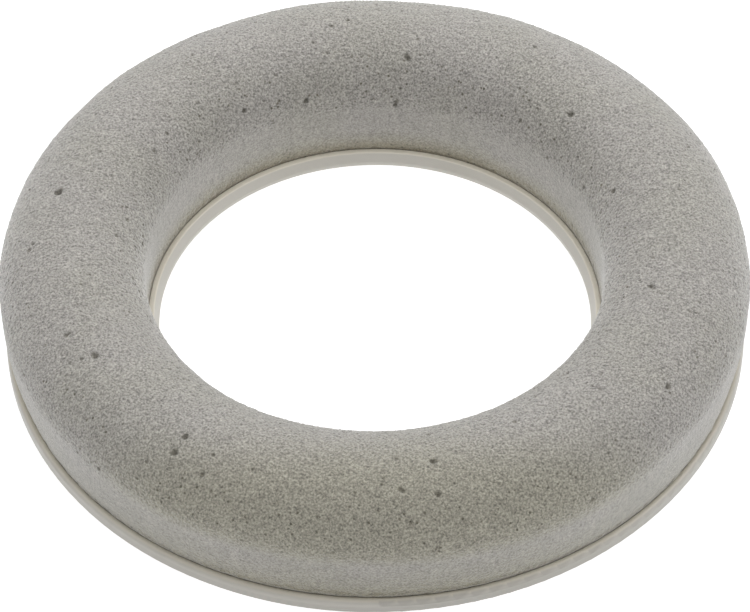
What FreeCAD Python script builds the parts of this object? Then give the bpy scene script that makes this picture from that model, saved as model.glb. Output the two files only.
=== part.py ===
import FreeCAD, Part
import math
import os

os.makedirs("parts", exist_ok=True)

# A ring of dry floral foam glued into a shallow moulded tray.  Millimetres, +Z up,
# origin on the table at the middle of the hole.

# overall sizes
tray_radius = 125.0
hole_radius = 73.3
ring_height = 44.5

# tray
outer_lip_thickness = 2.4
inner_lip_thickness = 1.8
hole_flare = 1.7
hole_land_height = 1.6
outer_lip_height = 5.0
inner_lip_height = 6.6
floor_thickness = 1.4
floor_lift = 1.6
outer_lip_round = 2.0
hole_lip_round = 0.6
channel_edge_round = 0.3
table_edge_round = 0.35
corner_round = 0.4
foot_width = 3.0
rib_thickness = 1.2
rib_count = 24
rib_short_of_table = 0.4
rib_overlap = 0.2

# foam
side_gap = 0.1
foam_bulge = 2.8
bulge_rise = 17.0
crown_rise = 17.5
bottom_edge_cut = 0.5

# hot melt beads
bead_thickness = 0.6
bead_width = 7.0
bead_edge_distance = 9.0

# sizes that follow from the ones above
outer_channel_radius = tray_radius - outer_lip_thickness
hole_top_radius = hole_radius + hole_flare
inner_channel_radius = hole_top_radius + inner_lip_thickness
middle_radius = (outer_channel_radius + inner_channel_radius) / 2
floor_top = floor_lift + floor_thickness
foam_bottom = floor_top + bead_thickness
foam_foot_radius = outer_channel_radius - side_gap
foam_outer_radius = foam_foot_radius + foam_bulge
foam_inner_radius = inner_channel_radius + side_gap
crown_middle_radius = (foam_outer_radius + foam_inner_radius) / 2
crown_half_width = (foam_outer_radius - foam_inner_radius) / 2
straight_wall_top = ring_height - crown_rise
outer_bead_radius = foam_foot_radius - bead_edge_distance
inner_bead_radius = foam_inner_radius + bead_edge_distance


def at(radius, height):
    return FreeCAD.Vector(radius, 0, height)


def line(start, end):
    return Part.LineSegment(at(*start), at(*end)).toShape()


def lines_through(corners):
    edges = []
    for start, end in zip(corners[:-1], corners[1:]):
        edges.append(line(start, end))
    return edges


def spun(edges):
    # one turn of a closed outline about the Z axis
    face = Part.Face(Part.Wire(Part.sortEdges(edges)[0]))
    return face.revolve(FreeCAD.Vector(0, 0, 0), FreeCAD.Vector(0, 0, 1), 360)


def circle_edges(solid, places):
    # the round edges that lie at the given radii and heights
    found = []
    for edge in solid.Edges:
        if not isinstance(edge.Curve, Part.Circle):
            continue
        for radius, height in places:
            same_radius = abs(edge.Curve.Radius - radius) < 0.001
            same_height = abs(edge.Curve.Center.z - height) < 0.001
            if same_radius and same_height:
                found.append(edge)
    return found


def tray_outline():
    foot_inner = middle_radius - foot_width / 2
    foot_outer = middle_radius + foot_width / 2
    corners = [
        (tray_radius, 0),
        (tray_radius, outer_lip_height),
        (outer_channel_radius, outer_lip_height),
        (outer_channel_radius, floor_top),
        (inner_channel_radius, floor_top),
        (inner_channel_radius, inner_lip_height),
        (hole_top_radius, inner_lip_height),
        (hole_radius, floor_lift + hole_land_height),
        (hole_radius, floor_lift),
        (foot_inner, floor_lift),
        (foot_inner, 0),
        (foot_outer, 0),
        (foot_outer, floor_lift),
        (outer_channel_radius, floor_lift),
        (outer_channel_radius, 0),
        (tray_radius, 0),
    ]
    return lines_through(corners)


def rib(start_radius, end_radius, turn):
    # a radial stiffener that hangs under the floor and stops short of the table
    length = end_radius - start_radius + 2 * rib_overlap
    height = floor_lift - rib_short_of_table + rib_overlap
    corner = FreeCAD.Vector(start_radius - rib_overlap, -rib_thickness / 2, rib_short_of_table)
    solid = Part.makeBox(length, rib_thickness, height, corner)
    solid.rotate(FreeCAD.Vector(0, 0, 0), FreeCAD.Vector(0, 0, 1), turn)
    return solid


def base_tray():
    solid = spun(tray_outline())
    solid = solid.makeFillet(outer_lip_round, circle_edges(solid, [(tray_radius, outer_lip_height)]))
    solid = solid.makeFillet(hole_lip_round, circle_edges(solid, [(hole_top_radius, inner_lip_height)]))
    channel_edges = [(outer_channel_radius, outer_lip_height), (inner_channel_radius, inner_lip_height)]
    solid = solid.makeFillet(channel_edge_round, circle_edges(solid, channel_edges))
    low_edges = [(tray_radius, 0), (hole_radius, floor_lift)]
    solid = solid.makeFillet(table_edge_round, circle_edges(solid, low_edges))
    channel_corners = [(outer_channel_radius, floor_top), (inner_channel_radius, floor_top)]
    solid = solid.makeFillet(corner_round, circle_edges(solid, channel_corners))
    ribs = []
    for index in range(rib_count):
        turn = 360 * index / rib_count
        ribs.append(rib(inner_channel_radius, middle_radius - foot_width / 2, turn))
        ribs.append(rib(middle_radius + foot_width / 2, outer_channel_radius, turn))
    return solid.fuse(ribs).removeSplitter()


def crown_arc():
    # half an ellipse over the two walls, whose long axis lies across or stands up
    side = at(foam_outer_radius, straight_wall_top)
    top = at(crown_middle_radius, ring_height)
    middle = at(crown_middle_radius, straight_wall_top)
    if crown_rise < crown_half_width:
        return Part.ArcOfEllipse(Part.Ellipse(side, top, middle), 0, math.pi).toShape()
    return Part.ArcOfEllipse(Part.Ellipse(top, side, middle), -math.pi / 2, math.pi / 2).toShape()


def foam_ring():
    # straight inner wall, outer wall curving in to the lip at its foot, oval crown
    foot = (foam_foot_radius, outer_lip_height)
    belly = (foam_outer_radius - foam_bulge / 4, outer_lip_height + bulge_rise / 2)
    shoulder = (foam_outer_radius, outer_lip_height + bulge_rise)
    corners = [
        (foam_inner_radius, straight_wall_top),
        (foam_inner_radius, foam_bottom + bottom_edge_cut),
        (foam_inner_radius + bottom_edge_cut, foam_bottom),
        (foam_foot_radius - bottom_edge_cut, foam_bottom),
        (foam_foot_radius, foam_bottom + bottom_edge_cut),
        foot,
    ]
    outer_wall = Part.Arc(at(*foot), at(*belly), at(*shoulder)).toShape()
    upper_wall = line(shoulder, (foam_outer_radius, straight_wall_top))
    return spun(lines_through(corners) + [outer_wall, upper_wall, crown_arc()])


def glue_bead(radius):
    # a bead squashed flat between the tray floor and the foam, bulging at its two sides
    half_flat = (bead_width - bead_thickness) / 2
    low = floor_top
    high = floor_top + bead_thickness
    middle = floor_top + bead_thickness / 2
    outer_side = Part.Arc(
        at(radius + half_flat, low),
        at(radius + half_flat + bead_thickness / 2, middle),
        at(radius + half_flat, high),
    ).toShape()
    inner_side = Part.Arc(
        at(radius - half_flat, high),
        at(radius - half_flat - bead_thickness / 2, middle),
        at(radius - half_flat, low),
    ).toShape()
    top = line((radius + half_flat, high), (radius - half_flat, high))
    bottom = line((radius - half_flat, low), (radius + half_flat, low))
    return spun([outer_side, top, inner_side, bottom])


pieces = {
    "base_tray": base_tray(),
    "foam_ring": foam_ring(),
    "outer_glue_bead": glue_bead(outer_bead_radius),
    "inner_glue_bead": glue_bead(inner_bead_radius),
}

for name, shape in pieces.items():
    shape.exportStep("parts/" + name + ".step")
    box = shape.optimalBoundingBox()
    size = [round(box.XLength, 2), round(box.YLength, 2), round(box.ZLength, 2)]
    print(name, "solids", len(shape.Solids), "valid", shape.isValid(), "size", size)
    print("  low", round(box.ZMin, 2), "volume in cubic cm", round(shape.Volume / 1000, 1))
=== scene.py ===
import math
import random

import bpy
import numpy as np
from mathutils import Matrix, Vector, kdtree


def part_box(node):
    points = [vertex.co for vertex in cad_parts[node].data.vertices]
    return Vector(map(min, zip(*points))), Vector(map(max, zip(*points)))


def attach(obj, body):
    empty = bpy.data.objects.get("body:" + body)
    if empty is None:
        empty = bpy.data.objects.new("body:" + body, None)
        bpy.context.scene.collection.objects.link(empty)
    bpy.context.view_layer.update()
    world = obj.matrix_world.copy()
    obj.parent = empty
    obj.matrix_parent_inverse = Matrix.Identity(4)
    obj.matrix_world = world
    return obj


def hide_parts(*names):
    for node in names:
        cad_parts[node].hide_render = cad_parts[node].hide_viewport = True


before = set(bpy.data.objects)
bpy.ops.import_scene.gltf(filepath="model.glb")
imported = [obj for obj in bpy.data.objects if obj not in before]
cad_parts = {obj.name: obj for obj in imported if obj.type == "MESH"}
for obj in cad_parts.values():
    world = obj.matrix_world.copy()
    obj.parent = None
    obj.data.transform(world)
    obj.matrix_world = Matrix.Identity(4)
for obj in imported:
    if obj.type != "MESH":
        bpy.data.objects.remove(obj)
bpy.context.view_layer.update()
print("frame loaded:", sorted(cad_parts))

millimetre = 0.001
sameSpot = 1e-6  # points nearer than this are one point


class Wire:
    # one socket of a material, so that sums of patterns read as plain sums
    def __init__(self, recipe, socket):
        self.recipe = recipe
        self.socket = socket

    def maths(self, operation, first, second=None):
        values = {0: first} if second is None else {0: first, 1: second}
        return self.recipe.node("ShaderNodeMath", {"operation": operation}, values)

    def __add__(self, other):
        return self.maths("ADD", self, other)

    def __sub__(self, other):
        return self.maths("SUBTRACT", self, other)

    def __rsub__(self, other):
        return self.maths("SUBTRACT", other, self)

    def __mul__(self, other):
        return self.maths("MULTIPLY", self, other)

    def __pow__(self, other):
        return self.maths("POWER", self, other)

    def clamped(self):
        return self.recipe.node("ShaderNodeClamp", {}, {"Value": self}, "Result")

    def times(self, factor):
        # a colour made brighter or darker by a pattern
        values = {0: self, "Scale": factor}
        return self.recipe.node("ShaderNodeVectorMath", {"operation": "SCALE"}, values)

    def between(self, low, high):
        # 0 at low, 1 at high, smooth between them
        settings = {"interpolation_type": "SMOOTHSTEP"}
        values = {"Value": self, "From Min": low, "From Max": high}
        return self.recipe.node("ShaderNodeMapRange", settings, values, "Result")

    __radd__ = __add__
    __rmul__ = __mul__


class Recipe:
    # one material under construction
    def __init__(self, name):
        self.material = bpy.data.materials.new(name)
        self.material.use_nodes = True
        self.tree = self.material.node_tree
        self.tree.nodes.clear()

    def node(self, kind, settings=None, values=None, output=0):
        made = self.tree.nodes.new(kind)
        for name, value in (settings or {}).items():
            setattr(made, name, value)
        for name, value in (values or {}).items():
            socket = self.inputOf(made, name)
            if isinstance(value, Wire):
                self.tree.links.new(value.socket, socket)
            else:
                socket.default_value = value
        return Wire(self, made.outputs[output])

    def inputOf(self, made, name):
        if isinstance(name, int):
            return made.inputs[name]
        live = [socket for socket in made.inputs if socket.name == name and socket.enabled]
        return live[0] if live else made.inputs[name]

    def objectPlace(self):
        return self.node("ShaderNodeTexCoord", {}, {}, "Object")

    def kept(self, name):
        return self.node("ShaderNodeAttribute", {"attribute_name": name}, {}, "Fac")

    def split(self, place, axis):
        return self.node("ShaderNodeSeparateXYZ", {}, {"Vector": place}, axis)

    def stretched(self, place, scale):
        return self.node("ShaderNodeMapping", {}, {"Vector": place, "Scale": scale})

    def noise(self, place, size, detail=2.0, roughness=0.5):
        values = {"Vector": place, "Scale": 1 / size, "Detail": detail, "Roughness": roughness}
        return self.node("ShaderNodeTexNoise", {}, values, 0)

    def cells(self, place, size):
        values = {"Vector": place, "Scale": 1 / size}
        return self.node("ShaderNodeTexVoronoi", {"feature": "F1"}, values, "Distance")

    def blend(self, amount, first, second):
        settings = {"data_type": "RGBA", "blend_type": "MIX"}
        values = {"Factor": amount, "A": first, "B": second}
        return self.node("ShaderNodeMix", settings, values, "Result")

    def bump(self, height, strength, distance):
        values = {"Height": height, "Strength": strength, "Distance": distance}
        return self.node("ShaderNodeBump", {}, values, "Normal")

    def finish(self, values):
        surface = self.node("ShaderNodeBsdfPrincipled", {}, values, "BSDF")
        output = self.tree.nodes.new("ShaderNodeOutputMaterial")
        self.tree.links.new(surface.socket, output.inputs["Surface"])
        return self.material


def clearSelection():
    if bpy.context.object and bpy.context.object.mode != "OBJECT":
        bpy.ops.object.mode_set(mode="OBJECT")
    bpy.ops.object.select_all(action="DESELECT")


def pickVertices(piece, wanted):
    # leaves edit mode on, with the wanted vertices selected
    bpy.ops.object.mode_set(mode="EDIT")
    bpy.ops.mesh.select_mode(type="VERT")
    bpy.ops.mesh.select_all(action="DESELECT")
    bpy.ops.object.mode_set(mode="OBJECT")
    for vertex in piece.data.vertices:
        vertex.select = bool(wanted(vertex.co))
    bpy.ops.object.mode_set(mode="EDIT")


def pickEdges(piece, wanted):
    bpy.ops.object.mode_set(mode="EDIT")
    bpy.ops.mesh.select_mode(type="EDGE")
    bpy.ops.mesh.select_all(action="DESELECT")
    bpy.ops.object.mode_set(mode="OBJECT")
    points = piece.data.vertices
    for edge in piece.data.edges:
        edge.select = bool(wanted(points[edge.vertices[0]].co, points[edge.vertices[1]].co))
    bpy.ops.object.mode_set(mode="EDIT")


def pushOut(step):
    # extrudes the picked vertex by a step across and a step up
    bpy.ops.mesh.extrude_region_move(TRANSFORM_OT_translate={"value": (step[0], 0, step[1])})


def applyAll(piece):
    bpy.context.view_layer.objects.active = piece
    for modifier in list(piece.modifiers):
        bpy.ops.object.modifier_apply(modifier=modifier.name)


def turnIntoRing(piece, steps):
    # one full turn of the section about the upright axis
    screw = piece.modifiers.new("turn", "SCREW")
    screw.axis = "Z"
    screw.angle = 2 * math.pi
    screw.steps = steps
    screw.render_steps = steps
    screw.use_merge_vertices = True
    screw.merge_threshold = sameSpot
    applyAll(piece)
    bpy.ops.object.mode_set(mode="EDIT")
    bpy.ops.mesh.select_all(action="SELECT")
    bpy.ops.mesh.remove_doubles(threshold=sameSpot)
    bpy.ops.mesh.normals_make_consistent(inside=False)
    bpy.ops.object.mode_set(mode="OBJECT")


def pointsOf(mesh):
    flat = np.empty(len(mesh.vertices) * 3, np.float32)
    mesh.vertices.foreach_get("co", flat)
    return flat.reshape(-1, 3).astype(float)


def normalsOf(mesh):
    flat = np.empty(len(mesh.vertices) * 3, np.float32)
    mesh.vertex_normals.foreach_get("vector", flat)
    return flat.reshape(-1, 3).astype(float)


def setPoints(mesh, places):
    mesh.vertices.foreach_set("co", places.astype(np.float32).ravel())
    mesh.update()


def ringRadii(node):
    places = pointsOf(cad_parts[node].data)
    radii = np.hypot(places[:, 0], places[:, 1])
    return float(radii.min()), float(radii.max())


def roundTexture(kind, size, **settings):
    texture = bpy.data.textures.new(kind.lower(), kind)
    texture.noise_scale = size
    for name, value in settings.items():
        setattr(texture, name, value)
    return texture


def fade(start, reach, value):
    # 0 below the first reach above start, 1 past the second, smooth between them
    low, high = start + reach[0], start + reach[1]
    share = np.clip((value - low) / (high - low), 0, 1)
    return share * share * (3 - 2 * share)


foamLow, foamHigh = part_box("foam_ring")
foamInner, foamOuter = ringRadii("foam_ring")

foam = {
    "steps": 1760,
    "crownPoints": 200,
    "spacing": 0.36 * millimetre,
    "bottomCuts": 12,
    "crownRise": 17.5 * millimetre,
    "bulgeTop": 22.0 * millimetre,
    "bulgeSteps": 8,
    "outerLipTop": 5.0 * millimetre,
    "innerLipTop": 6.6 * millimetre,
    "bottomEdge": 0.5 * millimetre,
    # each relief: how big its pattern is, and how deep
    "swell": (0.045, 0.0009),
    "lumps": (0.0065, 0.00028),
    "cells": (0.0010, 0.00034),
    "grit": (0.00075, 0.00046),
    "crumbs": (0.0030, 0.0009),
    "crumbsMiddle": 0.34,
    "wallShare": 0.36,
    "poreReach": 0.0004,
    # where each part of the skin starts and is full, from its own starting height
    "crownFade": (-0.004, 0.0045),
    "freeFade": (-0.0004, 0.0015),
    "edgeFade": (0.0015, 0.0045),
    "lowWallFade": (0.006, 0.026),
    "nearTrayFade": (-0.001, 0.0105),
    "weightSteps": 20,
    "smallVoids": 150,
    "voidRows": (0.25, 0.5, 0.75),
    "voidSpread": 0.22,
    # burst bubbles: depths and lobe sizes are shares of the radius
    "voidRadius": (0.5 * millimetre, 0.9 * millimetre),
    "voidDepth": (0.35, 0.7),
    "voidRoundness": 0.4,
    "lobes": 3,
    "lobeScatter": (0.4, 0.012),
    "lobeSize": (0.55, 0.95),
    "lobeDepth": (0.4, 0.65),
    "seed": 7,
}
# the larger burst bubbles: degrees round the ring, place along the crown, radius in millimetres
largeVoids = [
    (82, 0.69, 1.7), (40, 0.67, 1.3), (16, 0.76, 1.2), (98, 0.5, 1.0),
    (107, 0.9, 1.1), (124, 0.83, 1.2), (169, 0.42, 1.6), (211, 0.44, 1.5), (204, 0.4, 1.0),
    (236, 0.43, 1.4), (236, 0.33, 1.2), (242, 0.3, 1.3), (280, 0.5, 1.4), (274, 0.37, 1.3),
    (280, 0.33, 1.0), (344, 0.6, 1.2), (324, 0.3, 1.4), (84, 0.955, 1.1), (84, 0.99, 1.1),
]


def foamSection():
    # the ring's section in the XZ plane, drawn from a circle
    low, high, inner, outer = foamLow, foamHigh, foamInner, foamOuter
    steps = foam["bulgeSteps"]
    foot = footRadius()
    middle = (inner + outer) / 2
    halfWidth = (outer - inner) / 2
    straightTop = high.z - foam["crownRise"]
    bottomEdge = foam["bottomEdge"]
    clearSelection()
    bpy.ops.mesh.primitive_circle_add(vertices=2 * foam["crownPoints"], radius=halfWidth,
                                      location=(middle, 0, straightTop),
                                      rotation=(math.pi / 2, 0, 0))
    piece = bpy.context.object
    piece.name = "foamRing"
    bpy.ops.object.transform_apply(location=True, rotation=True, scale=True)
    pickVertices(piece, lambda at: at.z < straightTop - sameSpot)
    bpy.ops.mesh.delete(type="VERT")
    bpy.ops.mesh.select_all(action="SELECT")
    bpy.ops.transform.resize(value=(1, 1, foam["crownRise"] / halfWidth),
                             center_override=(middle, 0, straightTop))
    pickVertices(piece, lambda at: at.z < straightTop + sameSpot and at.x > middle)
    pushOut((0, foam["bulgeTop"] - straightTop))
    # the outer wall curves in to the lip
    for step in range(steps):
        sag = [((step + end) / steps) ** 2 for end in (0, 1)]
        inward = (foot - outer) * (sag[1] - sag[0])
        pushOut((inward, (foam["outerLipTop"] - foam["bulgeTop"]) / steps))
    pushOut((0, low.z + bottomEdge - foam["outerLipTop"]))
    pushOut((-bottomEdge, -bottomEdge))
    pickVertices(piece, lambda at: abs(at.z - straightTop) < sameSpot and at.x < middle)
    pushOut((0, low.z + bottomEdge - straightTop))
    pushOut((bottomEdge, -bottomEdge))
    pickVertices(piece, lambda at: at.z < low.z + sameSpot)
    bpy.ops.mesh.edge_face_add()
    bpy.ops.object.mode_set(mode="OBJECT")
    for length, start, end in longEdges(piece):
        flat = abs(start.z - end.z) < sameSpot
        cuts = foam["bottomCuts"] if flat else max(1, round(length / foam["spacing"]) - 1)
        pickEdges(piece, lambda a, b: (a - start).length + (b - end).length < 1e-7)
        bpy.ops.mesh.subdivide(number_cuts=cuts)
    bpy.ops.object.mode_set(mode="OBJECT")
    return piece


def footRadius():
    # how wide the CAD ring is just above its bottom edge
    places = pointsOf(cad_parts["foam_ring"].data)
    atFoot = places[places[:, 2] < foamLow.z + millimetre]
    return float(np.hypot(atFoot[:, 0], atFoot[:, 1]).max())


def longEdges(piece):
    # every edge of the section that is still much longer than the spacing, with its two ends
    found = []
    for edge in piece.data.edges:
        start, end = [piece.data.vertices[index].co.copy() for index in edge.vertices]
        if (start - end).length > 1.5 * foam["spacing"]:
            found.append(((start - end).length, start, end))
    return found


def weigh(piece, name, weights):
    # a vertex group whose weights go up in even steps
    group = piece.vertex_groups.new(name=name)
    finest = foam["weightSteps"]
    steps = np.round(weights * finest).astype(int)
    for step in range(1, finest + 1):
        chosen = np.nonzero(steps == step)[0]
        if len(chosen):
            group.add(chosen.tolist(), step / finest, "REPLACE")


def keep(piece, name, values):
    # a number on every vertex for the material to read
    held = piece.data.attributes.new(name, "FLOAT", "POINT")
    held.data.foreach_set("value", values.astype(np.float32))


def unwrap(piece, profile):
    # the ring's skin as two half turns, one strip above the other
    centre = np.array([(foamInner + foamOuter) / 2, (foamLow.z + foamHigh.z) / 2])
    section = profile[:, [0, 2]] - centre
    bearing = np.arctan2(section[:, 0], section[:, 1])
    order = np.argsort(bearing)
    steps = np.linalg.norm(np.diff(section[order], axis=0), axis=1)
    length = np.concatenate([[0], np.cumsum(steps)])
    length /= length[-1]
    places = pointsOf(piece.data)
    corners = np.empty(len(piece.data.loops), np.int32)
    piece.data.loops.foreach_get("vertex_index", corners)
    starts = np.empty(len(piece.data.polygons), np.int32)
    counts = np.empty(len(piece.data.polygons), np.int32)
    piece.data.polygons.foreach_get("loop_start", starts)
    piece.data.polygons.foreach_get("loop_total", counts)
    faceOf = np.repeat(np.arange(len(starts)), counts)
    at = places[corners]
    middle = np.add.reduceat(at, starts, axis=0) / counts[:, None]
    halfTurn = (middle[:, 1] < 0).astype(int)[faceOf]
    turned = np.where(halfTurn[:, None] == 1, -at[:, :2], at[:, :2])
    across = np.clip(np.arctan2(turned[:, 1], turned[:, 0]) / math.pi, 0, 1)
    across = np.where((turned[:, 1] < 1e-7) & (turned[:, 0] < 0), 1, across)
    reach = np.hypot(at[:, 0], at[:, 1]) - centre[0]
    up = np.interp(np.arctan2(reach, at[:, 2] - centre[1]), bearing[order], length)
    lowest = np.minimum.reduceat(up, starts)[faceOf]
    highest = np.maximum.reduceat(up, starts)[faceOf]
    up = np.where((highest - lowest > 0.5) & (up < 0.5), 1, up)
    layer = piece.data.uv_layers.new(name="OFBake")
    spread = np.stack([0.002 + 0.996 * across, 0.004 + 0.492 * up + 0.5 * halfTurn], axis=1)
    layer.data.foreach_set("uv", spread.astype(np.float32).ravel())


def displace(piece, kind, pattern, group, middle=0.5, **settings):
    # a relief of one size and height, on one group of points
    size, strength = pattern
    modifier = piece.modifiers.new("relief", "DISPLACE")
    modifier.texture = roundTexture(kind, size, **settings)
    modifier.texture_coords = "LOCAL"
    modifier.strength = strength
    modifier.mid_level = middle
    modifier.vertex_group = group
    applyAll(piece)


def digVoids(piece, holes):
    # burst bubbles: each hole is a few overlapping dents, pushed in along the surface normal
    places = pointsOf(piece.data)
    normals = normalsOf(piece.data)
    tree = kdtree.KDTree(len(places))
    for index, place in enumerate(places):
        tree.insert(place, index)
    tree.balance()
    moved = places.copy()
    for centre, radius, depth in holes:
        found = tree.find_range(centre, radius)
        if not found:
            continue
        indices = np.array([item[1] for item in found])
        distances = np.array([item[2] for item in found])
        share = 1 - (distances / radius) ** 2
        inward = normals[indices].mean(axis=0)
        inward /= np.linalg.norm(inward)
        moved[indices] -= inward * (depth * share ** foam["voidRoundness"])[:, None]
    setPoints(piece.data, moved)


def sectionPoint(degrees, along):
    # a place on the smooth ring: degrees round it, and along the crown from 0 outside to 1 inside
    turn = math.radians(degrees)
    slope = math.pi * along
    radius = (foamInner + foamOuter) / 2 + (foamOuter - foamInner) / 2 * math.cos(slope)
    height = foamHigh.z - foam["crownRise"] + foam["crownRise"] * math.sin(slope)
    return Vector((radius * math.cos(turn), radius * math.sin(turn), height))


def crownHoles():
    # small shallow bubbles, thicker on the two shoulders, then the larger ones
    dice = random.Random(foam["seed"])
    spread = foam["voidSpread"]
    holes = []
    for count in range(foam["smallVoids"]):
        along = dice.choice(foam["voidRows"]) + dice.uniform(-spread, spread)
        centre = sectionPoint(dice.uniform(0, 360), along)
        radius = dice.uniform(*foam["voidRadius"])
        holes.append((centre, radius, radius * dice.uniform(*foam["voidDepth"])))
    aside, across = foam["lobeScatter"]
    for degrees, along, radius in largeVoids:
        for lobe in range(foam["lobes"]):
            degreesHere = degrees + dice.uniform(-aside, aside)
            centre = sectionPoint(degreesHere, along + dice.uniform(-across, across))
            size = radius * dice.uniform(*foam["lobeSize"]) * millimetre
            holes.append((centre, size, size * dice.uniform(*foam["lobeDepth"])))
    return holes


def foamRing():
    piece = foamSection()
    profile = pointsOf(piece.data)
    turnIntoRing(piece, foam["steps"])
    print("foam ring turned:", len(piece.data.vertices), "points")
    places = pointsOf(piece.data)
    unwrap(piece, profile)
    straightTop = foamHigh.z - foam["crownRise"]
    height = places[:, 2]
    crown = fade(straightTop, foam["crownFade"], height)
    outside = np.hypot(places[:, 0], places[:, 1]) > (foamInner + foamOuter) / 2
    lipTop = np.where(outside, foam["outerLipTop"], foam["innerLipTop"])
    free = fade(lipTop, foam["freeFade"], height)
    edge = free * (1 - fade(lipTop, foam["edgeFade"], height))
    weigh(piece, "crown", free * (foam["wallShare"] + (1 - foam["wallShare"]) * crown))
    weigh(piece, "sides", free)
    weigh(piece, "edge", edge)
    displace(piece, "CLOUDS", foam["swell"], "sides", noise_depth=1)
    displace(piece, "CLOUDS", foam["crumbs"], "edge", foam["crumbsMiddle"], noise_depth=2)
    smoothPlaces = pointsOf(piece.data)
    smoothNormals = normalsOf(piece.data)
    displace(piece, "CLOUDS", foam["lumps"], "crown", noise_depth=2)
    displace(piece, "VORONOI", foam["cells"], "crown", distance_metric="DISTANCE")
    displace(piece, "CLOUDS", foam["grit"], "crown", noise_depth=1)
    digVoids(piece, crownHoles())
    depth = ((pointsOf(piece.data) - smoothPlaces) * smoothNormals).sum(axis=1)
    pore = np.clip(0.5 - depth / (2 * foam["poreReach"]), 0, 1)
    keep(piece, "pore", pore)
    keep(piece, "crownShare", crown)
    keep(piece, "lowWall", outside * (1 - fade(0, foam["lowWallFade"], height)))
    keep(piece, "nearTray", 1 - fade(lipTop, foam["nearTrayFade"], height))
    clearSelection()
    piece.select_set(True)
    bpy.context.view_layer.objects.active = piece
    bpy.ops.object.shade_smooth()
    piece.vertex_groups.clear()
    print("foam ring textured")
    return piece


foamLook = {
    "light": (0.386, 0.370, 0.345, 1),
    "warm": (0.370, 0.358, 0.318, 1),
    "olive": (0.345, 0.330, 0.268, 1),
    "straw": (0.362, 0.338, 0.242, 1),
    "dark": (0.135, 0.124, 0.094, 1),
    "brown": (0.215, 0.182, 0.122, 1),
    "patchSize": 30.0 * millimetre,
    "frontShoulderSide": (0.080, 0.108),
    "frontShoulderHeight": (0.022, 0.028),
    "frontShadeFrom": (0.045, 0.070),
    "frontShadeTo": (0.092, 0.120),
    "shoulderTop": (0.040, 0.0435),
    "shoulderFoot": (0.024, 0.030),
    "raggedSize": 2.2 * millimetre,
    "speckSize": 2.3 * millimetre,
    "sparseSize": 6.0 * millimetre,
    "glintSize": 2.4 * millimetre,
    "grainSize": 0.68 * millimetre,
    "coarseSize": 2.2 * millimetre,
    "streakSize": 1.8 * millimetre,
    "fineSize": 0.6 * millimetre,
    "wallGrain": 0.64,
    "grain": 1.85,
    "coarse": 0.35,
    "streaks": 0.2,
    "glint": 0.35,
    "lowWallShade": 0.22,
    "frontShadeDark": 0.14,
    "crownDark": 0.02,
    "level": 0.96,
    "bump": (0.7, 0.4 * millimetre),
}


def foamMaterial():
    look = foamLook
    recipe = Recipe("dryFoam")
    place = recipe.objectPlace()
    pore, crownShare = recipe.kept("pore"), recipe.kept("crownShare")
    nearTray, lowWall = recipe.kept("nearTray"), recipe.kept("lowWall")
    patch = recipe.noise(place, look["patchSize"], 2.0, 0.5)
    base = recipe.blend(patch.between(0.35, 0.65) * 0.6, look["light"], look["warm"])
    # painted shade: the front shoulder, turned away from the back light, is tinted olive and
    # darker, and the low outer wall on the front is painted darker, most on either side of its
    # middle
    across, height = recipe.split(place, "Y"), recipe.split(place, "Z")
    front = across * -1
    frontShoulderShade = front.between(*look["frontShoulderSide"]) * height.between(*look["frontShoulderHeight"])
    frontShadeEnd = 1 - front.between(*look["frontShadeTo"]) * 0.75
    frontWallShade = front.between(*look["frontShadeFrom"]) * frontShadeEnd * lowWall
    # the olive blend holds yellowed foam near the tray and low on the outer wall, and painted
    # shade on the front shoulder
    oliveTintAndShade = (frontShoulderShade + nearTray * 0.7 + lowWall * 0.5).clamped() * 0.85
    base = recipe.blend(oliveTintAndShade, base, look["olive"])
    base = recipe.blend((nearTray * 0.4 + lowWall * 0.4).clamped(), base, look["straw"])
    # painted shade: the foam is darker where its surface sits below the smooth skin, in pores and
    # burst bubbles
    holes = recipe.blend(pore.between(0.6, 1.0) * 0.55, base, look["dark"])
    # a brown stain where the foam meets the tray; dark specks, thickest on the shoulders and near
    # the tray, are painted shade standing for pores too small to model
    ragged = recipe.noise(place, look["raggedSize"], 3.0, 0.6) * 0.9 + 0.55
    stained = recipe.blend((nearTray ** 3 * ragged).clamped() * 0.66, holes, look["brown"])
    shoulder = (1 - height.between(*look["shoulderTop"])) * height.between(*look["shoulderFoot"])
    tinyPoreShade = 1 - recipe.cells(place, look["speckSize"]).between(0.12, 0.26)
    sparse = recipe.noise(place, look["sparseSize"], 2.0, 0.5).between(0.40, 0.58)
    often = (shoulder * 0.75 + nearTray ** 2 * 0.9 + 0.2).clamped()
    tinyPoreShaded = recipe.blend(tinyPoreShade * sparse * often, stained, look["dark"])
    glint = (1 - recipe.cells(place, look["glintSize"]).between(0.06, 0.16)) * crownShare
    grain = recipe.noise(place, look["grainSize"], 1.0, 0.6) - 0.5
    coarse = recipe.noise(place, look["coarseSize"], 2.0, 0.5) - 0.5
    upright = recipe.stretched(place, (1, 1, 0.15))
    streaks = recipe.noise(upright, look["streakSize"], 2.0, 0.5) - 0.5
    share = crownShare * (1 - look["wallGrain"]) + look["wallGrain"]
    tone = grain * share * look["grain"] + coarse * look["coarse"]
    tone = tone + streaks * (1 - crownShare) * look["streaks"] + glint * look["glint"]
    # painted shade: the outer wall is darker towards the tray, and darker still on the front
    tone = tone - lowWall * look["lowWallShade"] - frontWallShade * look["frontShadeDark"]
    tone = tone - crownShare * look["crownDark"] + look["level"]
    fine = recipe.noise(place, look["fineSize"], 2.0, 0.6)
    return recipe.finish({"Base Color": tinyPoreShaded.times(tone), "Roughness": 0.95,
                          "Normal": recipe.bump(fine, *look["bump"]),
                          "Specular IOR Level": 0.15,
                          "Sheen Weight": 0.75, "Sheen Roughness": 0.45})


foamPiece = foamRing()
foamPiece.data.materials.clear()
foamPiece.data.materials.append(foamMaterial())
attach(foamPiece, "root")
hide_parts("foam_ring")


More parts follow.
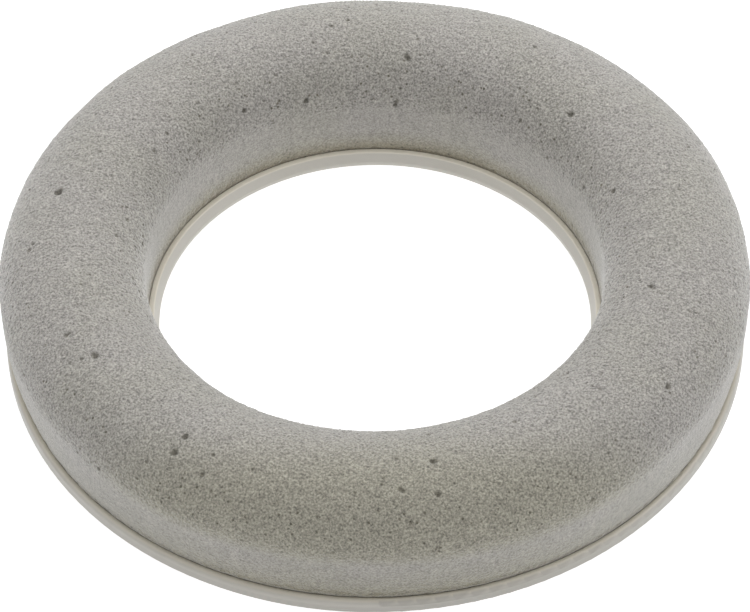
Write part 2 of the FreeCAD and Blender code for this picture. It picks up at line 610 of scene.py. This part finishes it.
trayLook = {
    "plastic": (0.55, 0.53, 0.485, 1),
    "dull": (0.50, 0.48, 0.425, 1),
    "litTop": (0.72, 0.68, 0.585, 1),
    "dust": (0.30, 0.275, 0.22, 1),
    "hazeSize": 20.0 * millimetre,
    "dustSize": 1.6 * millimetre,
    "scuffSize": 4.0 * millimetre,
    "innerSide": (0.090, 0.100),
    "outerSide": (0.100, 0.110),
    "outerDustRadius": (0.1240, 0.1226),
    "outerDustHeight": (0.0040, 0.0046),
    "innerDustRadius": (0.0757, 0.0767),
    "innerDustHeight": (0.0058, 0.0063),
    "outerTopRadius": (0.1200, 0.1210),
    "outerTopHeight": (0.0040, 0.0049),
    "innerTopRadius": (0.0770, 0.0780),
    "innerTopHeight": (0.0060, 0.0065),
    "outerWallRadius": (0.1240, 0.1247),
    "outerWallTop": (0.0022, 0.0040),
    "outerWallDark": 0.2,
}


def trayMaterial():
    look = trayLook
    recipe = Recipe("trayPlastic")
    place = recipe.objectPlace()
    haze = recipe.noise(place, look["hazeSize"], 3.0, 0.55)
    plastic = recipe.blend(haze.between(0.3, 0.7) * 0.4, look["plastic"], look["dull"])
    times = {"operation": "MULTIPLY"}
    flat = recipe.node("ShaderNodeVectorMath", times, {0: place, 1: (1, 1, 0)})
    radius = recipe.node("ShaderNodeVectorMath", {"operation": "LENGTH"}, {0: flat}, "Value")
    height = recipe.split(place, "Z")
    # painted light: the tops of both lips are painted paler than the wall below
    outerTop = radius.between(*look["outerTopRadius"]) * height.between(*look["outerTopHeight"])
    innerSideOnly = 1 - radius.between(*look["innerTopRadius"])
    innerTop = innerSideOnly * height.between(*look["innerTopHeight"])
    litLipTops = recipe.blend((outerTop + innerTop).clamped(), plastic, look["litTop"])
    lowDown = 1 - height.between(*look["outerWallTop"])
    outerWall = radius.between(*look["outerWallRadius"]) * lowDown
    shaded = litLipTops.times(1 - outerWall * look["outerWallDark"])
    # foam dust lies on top of both lips, close to the foam
    outerDust = radius.between(*look["outerDustRadius"]) * height.between(*look["outerDustHeight"])
    innerDust = radius.between(*look["innerDustRadius"]) * height.between(*look["innerDustHeight"])
    near = (1 - radius.between(*look["innerSide"])) * innerDust
    near = near + radius.between(*look["outerSide"]) * outerDust
    patchy = recipe.noise(place, look["dustSize"], 3.0, 0.65).between(0.35, 0.65)
    colour = recipe.blend((near * patchy).clamped() * 0.25, shaded, look["dust"])
    scuff = recipe.noise(recipe.stretched(place, (1, 1, 6)), look["scuffSize"], 3.0, 0.6)
    return recipe.finish({"Base Color": colour, "Roughness": scuff * 0.12 + 0.28,
                          "Normal": recipe.bump(scuff, 0.05, 0.2 * millimetre),
                          "Specular IOR Level": 0.45})


glueLook = {
    "clear": (0.66, 0.60, 0.44, 1),
    "cloudy": (0.55, 0.49, 0.34, 1),
    "cloudSize": 3.0 * millimetre,
}


def glueMaterial():
    recipe = Recipe("glue")
    cloud = recipe.noise(recipe.objectPlace(), glueLook["cloudSize"], 2.0, 0.5)
    colour = recipe.blend(cloud, glueLook["clear"], glueLook["cloudy"])
    return recipe.finish({"Base Color": colour, "Roughness": 0.3, "Specular IOR Level": 0.5})


def dress(node, material):
    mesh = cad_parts[node].data
    mesh.materials.clear()
    mesh.materials.append(material)


dress("base_tray", trayMaterial())
glueFinish = glueMaterial()
dress("outer_glue_bead", glueFinish)
dress("inner_glue_bead", glueFinish)
print("tray and glue dressed")


stage = {
    "floorSize": 6.0,
    "floorGrey": (0.45, 0.45, 0.45, 1),
    "floorGlow": 0.85,
    "skyStrength": 0.25,
    "aim": (0, 0, 0.02),
}
# each softbox: name, place, size, power
softboxes = [
    ("topSoftbox", (0, 0, 1.52), 0.9, 6.4),
    ("backSoftbox", (0, 1.15, 0.98), 0.9, 13.2),
    ("leftSoftbox", (-1.3, 0, 0.77), 0.9, 3.0),
    ("rightSoftbox", (1.3, 0, 0.77), 0.9, 5.5),
    ("frontFill", (0, -1.3, 0.77), 0.7, 2.2),
]
camera = {
    "elevation": 47.54,
    "distance": 1.192,
    "lens": 168.1,
    "aim": (0, 0.0038, 0.0035),
    "roll": -0.0101,
    "sensor": 36,
    "farthest": 20,
}


def paleFloor():
    clearSelection()
    bpy.ops.mesh.primitive_plane_add(size=stage["floorSize"], location=(0, 0, 0))
    floor = bpy.context.object
    floor.name = "floor"
    recipe = Recipe("paleFloor")
    finish = {"Base Color": stage["floorGrey"], "Roughness": 0.9, "Specular IOR Level": 0.1,
              "Emission Color": (1, 1, 1, 1), "Emission Strength": stage["floorGlow"]}
    floor.data.materials.append(recipe.finish(finish))


def softLight(name, place, size, power):
    # a square softbox pointed at the ring
    data = bpy.data.lights.new(name, "AREA")
    data.shape = "SQUARE"
    data.size = size
    data.energy = power
    lamp = bpy.data.objects.new(name, data)
    bpy.context.scene.collection.objects.link(lamp)
    lamp.location = place
    aim = Vector(stage["aim"]) - Vector(place)
    lamp.rotation_euler = aim.to_track_quat("-Z", "Y").to_euler()


def lights():
    world = bpy.data.worlds.new("studio")
    bpy.context.scene.world = world
    world.use_nodes = True
    backdrop = world.node_tree.nodes["Background"]
    backdrop.inputs["Color"].default_value = (1, 1, 1, 1)
    backdrop.inputs["Strength"].default_value = stage["skyStrength"]
    for name, place, size, power in softboxes:
        softLight(name, place, size, power)


def lookThrough():
    data = bpy.data.cameras.new("camera")
    data.lens = camera["lens"]
    data.sensor_width = camera["sensor"]
    data.clip_end = camera["farthest"]
    viewer = bpy.data.objects.new("camera", data)
    bpy.context.scene.collection.objects.link(viewer)
    tilt = math.radians(camera["elevation"])
    viewer.location = Vector((0, -math.cos(tilt), math.sin(tilt))) * camera["distance"]
    aim = Vector(camera["aim"]) - viewer.location
    turn = aim.to_track_quat("-Z", "Y").to_matrix() @ Matrix.Rotation(camera["roll"], 3, "Z")
    viewer.rotation_euler = turn.to_euler()
    bpy.context.scene.camera = viewer


paleFloor()
lights()
lookThrough()
bpy.context.scene.view_settings.view_transform = "Standard"
print("stage set")
